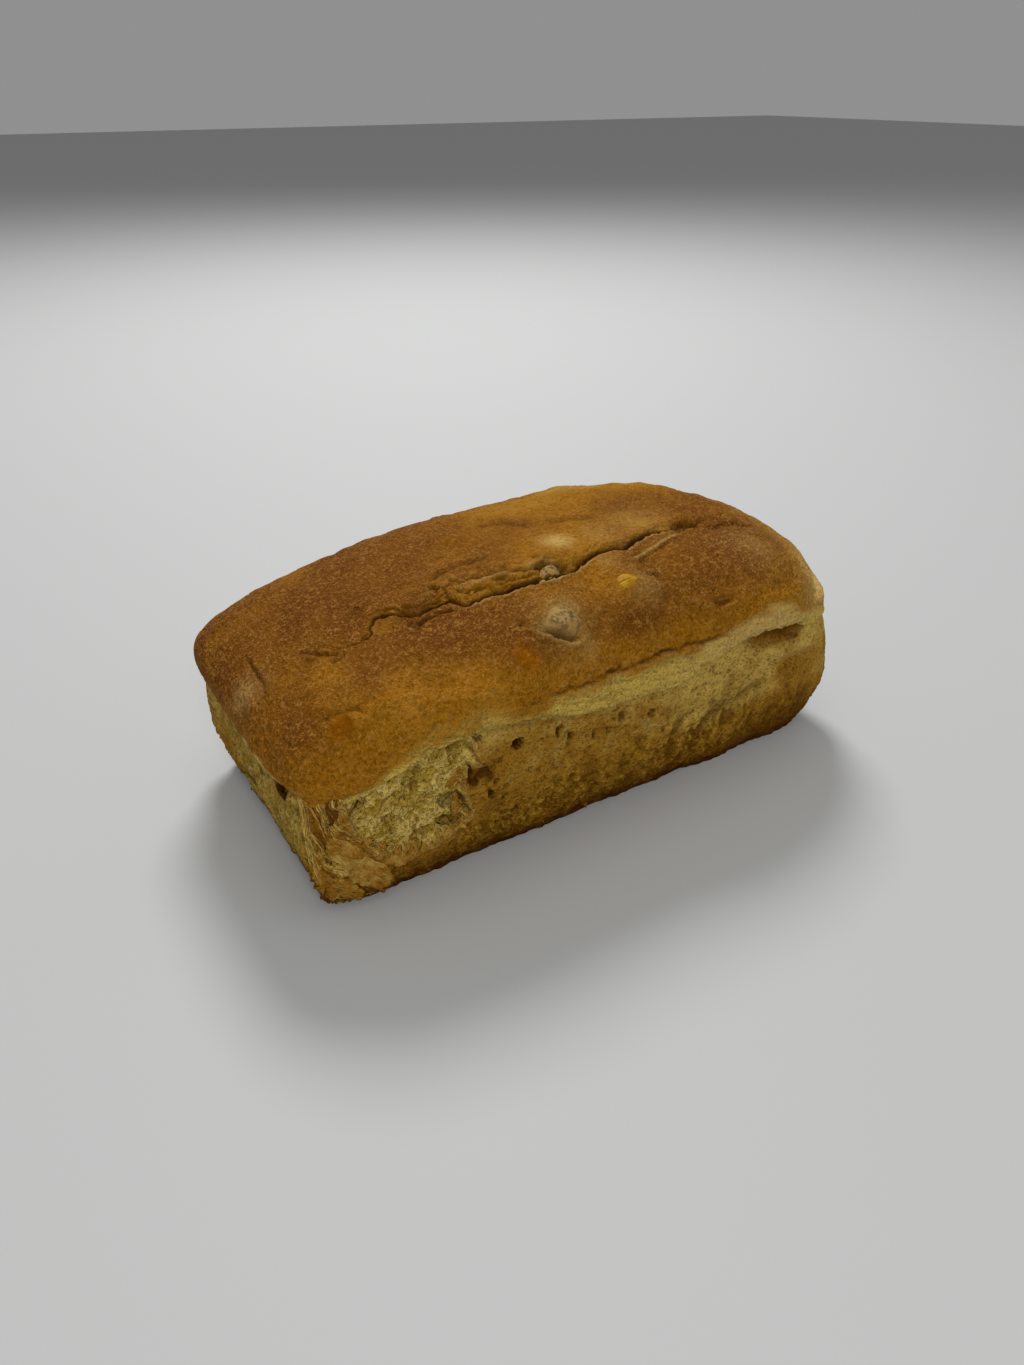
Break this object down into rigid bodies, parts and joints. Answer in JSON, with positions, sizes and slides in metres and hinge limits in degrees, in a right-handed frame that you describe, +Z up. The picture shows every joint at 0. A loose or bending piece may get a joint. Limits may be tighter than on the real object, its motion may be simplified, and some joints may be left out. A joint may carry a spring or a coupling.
{
  "type": "stollen",
  "caption": "Small tin-baked stollen loaf with a browned domed crust, a crack along the top, pale torn sides and dried fruit showing in the crust.",
  "frame": {"origin": "centre of the loaf's bounding box on its flat bottom, where it stands", "axes": "+X along the loaf, -Y towards the side with the torn crumb, +Z up"},
  "size_m": [0.178, 0.098, 0.0692],
  "materials": {
    "crust": "baked bread crust, matte with a faint sheen",
    "sultana": "wrinkled dried fruit",
    "peel": "translucent candied peel"
  },
  "bodies": {
    "root": {"loaf": "crust", "sultana_in_shoulder": "sultana", "sultana_in_crack": "sultana", "peel_in_shoulder": "peel", "peel_below_shoulder": "peel", "peel_at_corner": "peel"}
  },
  "joints": []
}
